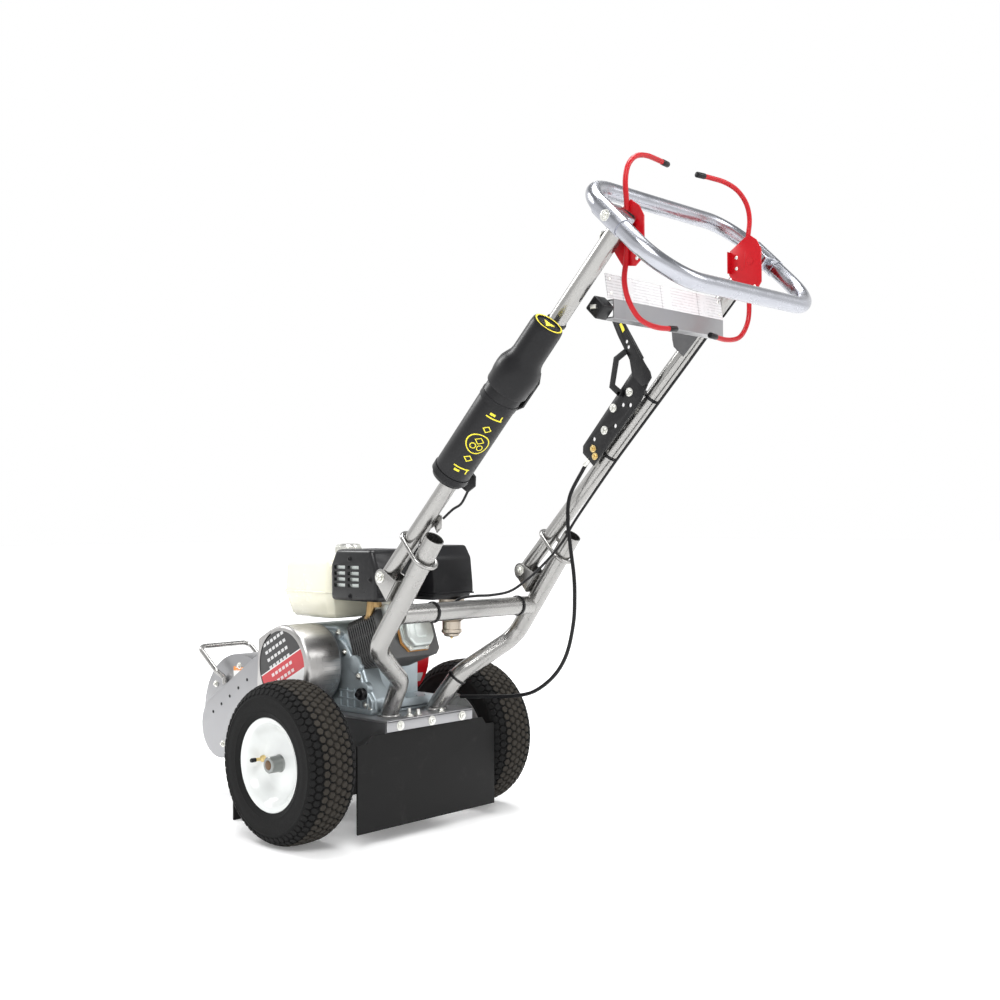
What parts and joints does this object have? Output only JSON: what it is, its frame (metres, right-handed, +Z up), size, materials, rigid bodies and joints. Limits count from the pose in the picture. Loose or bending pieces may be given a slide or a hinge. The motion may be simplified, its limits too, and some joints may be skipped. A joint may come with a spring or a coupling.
{
  "type": "walk-behind stump grinder",
  "caption": "Walk-behind stump grinder: petrol engine and belt-driven cutter wheel in a hood on a wheeled deck, with a folding tubular handle, control levers and rubber flaps.",
  "frame": {"origin": "centre of the bounding box at ground level", "axes": "+Z up, -X towards the cutter, +X towards the operator, +Y the machine's right side"},
  "size_m": [1.4842, 0.624, 1.2652],
  "materials": {
    "tyre": "matte black rubber with block tread",
    "flap": "matte black rubber sheet",
    "cable": "satin black cable jacket",
    "tube": "warm silver-grey satin paint",
    "deck": "light grey satin paint",
    "loop": "bright plated tube",
    "zinc": "zinc plated",
    "steel": "bare turned steel",
    "cast": "blue-grey cast aluminium",
    "white": "gloss white enamel",
    "red": "gloss red paint",
    "cream": "gloss cream enamel",
    "black_metal": "satin black paint",
    "black": "satin black plastic",
    "pipe": "heat-tinted steel",
    "bronze": "dull bronze-grey metal"
  },
  "bodies": {
    "chassis": {"axle": "steel", "axle_spacer_left": "zinc", "axle_spacer_right": "zinc", "deck": "deck", "side_plate_left": "deck", "side_plate_right": "deck", "rear_flap": "flap", "front_skirt": "flap", "upright_left": "tube", "upright_right": "tube", "pivot_bracket_left": "tube", "pivot_bracket_right": "tube", "pivot_bolt_left": "zinc", "pivot_bolt_right": "zinc", "cross_tube": "tube", "crankcase": "cast", "cylinder": "cast", "valve_cover": "cast", "fuel_tank": "cream", "muffler_guard": "black_metal", "exhaust_pipe": "pipe", "air_cleaner": "black", "carburettor": "bronze", "fan_cover": "red", "oil_cap": "black", "drive_belt": "cable", "cutter_bearing_left": "zinc", "cutter_bearing_right": "zinc", "belt_guard": "deck", "cutter_guard": "deck", "lift_handle": "tube", "brake_cable": "cable", "throttle_cable": "cable"},
    "wheel_left": {"tyre_left": "tyre", "rim_left": "white"},
    "wheel_right": {"tyre_right": "tyre", "rim_right": "white"},
    "clutch": {"crankshaft": "steel", "clutch_drum": "steel"},
    "cutter": {"cutter_shaft": "steel", "cutter_wheel": "steel", "driven_pulley": "steel"},
    "handle": {"handle_tube_left": "tube", "handle_tube_right": "tube", "handle_loop": "loop", "cross_bar": "deck", "label_plate": "white", "document_tube": "black", "brake_bracket": "black_metal", "switch_box": "black"},
    "ring_left": {"lock_ring_left": "tube"},
    "ring_right": {"lock_ring_right": "tube"},
    "cap": {"document_cap": "black"},
    "presence_left": {"presence_lever_left": "red"},
    "presence_right": {"presence_lever_right": "red"},
    "brake": {"brake_lever": "black_metal"},
    "throttle": {"throttle_lever": "black"},
    "filler_cap": {"fuel_cap": "zinc"},
    "starter": {"starter_grip": "black"}
  },
  "joints": [
    {"name": "handle_fold", "type": "hinge", "parent": "chassis", "child": "handle", "pos_m": [0.03782, 0, 0.543], "axis": [0, -1, 0], "range_deg": [0, 120], "deforming": ["brake_cable", "throttle_cable", "lock_ring_left", "lock_ring_right"]},
    {"name": "lock_ring_left_slide", "type": "slide", "parent": "handle", "child": "ring_left", "axis": [0.6997, 0, 0.7145], "range_m": [0, 0.075]},
    {"name": "lock_ring_right_slide", "type": "slide", "parent": "handle", "child": "ring_right", "axis": [0.6997, 0, 0.7145], "range_m": [0, 0.075]},
    {"name": "wheel_left_spin", "type": "hinge", "parent": "chassis", "child": "wheel_left", "pos_m": [-0.20218, -0.255, 0.165], "axis": [0, 1, 0], "continuous": true},
    {"name": "wheel_right_spin", "type": "hinge", "parent": "chassis", "child": "wheel_right", "pos_m": [-0.20218, 0.255, 0.165], "axis": [0, 1, 0], "continuous": true},
    {"name": "cutter_spin", "type": "hinge", "parent": "chassis", "child": "cutter", "pos_m": [-0.59718, -0.06, 0.197], "axis": [0, 1, 0], "continuous": true},
    {"name": "clutch_spin", "type": "hinge", "parent": "chassis", "child": "clutch", "pos_m": [-0.30418, -0.13, 0.343], "axis": [0, 1, 0], "continuous": true},
    {"name": "presence_left_press", "type": "hinge", "parent": "handle", "child": "presence_left", "pos_m": [0.61982, -0.176, 1.122], "axis": [0, -1, 0], "range_deg": [0, 18], "stiffness_Nm_per_rad": 2, "springref_deg": -11.46},
    {"name": "presence_right_press", "type": "hinge", "parent": "handle", "child": "presence_right", "pos_m": [0.61982, 0.176, 1.122], "axis": [0, -1, 0], "range_deg": [0, 18], "stiffness_Nm_per_rad": 2, "springref_deg": -11.46},
    {"name": "brake_pull", "type": "hinge", "parent": "handle", "child": "brake", "pos_m": [0.37166, 0.1635, 0.94108], "axis": [0, 1, 0], "range_deg": [0, 50]},
    {"name": "throttle_turn", "type": "hinge", "parent": "handle", "child": "throttle", "pos_m": [0.52901, 0.2155, 1.04173], "axis": [0, -1, 0], "range_deg": [0, 60]},
    {"name": "document_cap_slide", "type": "slide", "parent": "handle", "child": "cap", "axis": [0.6997, 0, 0.7145], "range_m": [0, 0.06]},
    {"name": "fuel_cap_turn", "type": "hinge", "parent": "chassis", "child": "filler_cap", "pos_m": [-0.33218, 0.01, 0.575], "axis": [0, 0, 1], "range_deg": [0, 90]},
    {"name": "starter_pull", "type": "slide", "parent": "chassis", "child": "starter", "axis": [0, 0, 1], "range_m": [0, 0.25], "stiffness_N_per_m": 40, "springref_m": -0.1}
  ],
  "couplings": [
    {"joint": "lock_ring_left_slide", "follows": "handle_fold", "m_per_rad": 0.035774},
    {"joint": "lock_ring_right_slide", "follows": "handle_fold", "m_per_rad": 0.035774},
    {"joint": "clutch_spin", "follows": "cutter_spin", "ratio": 1.2679}
  ]
}
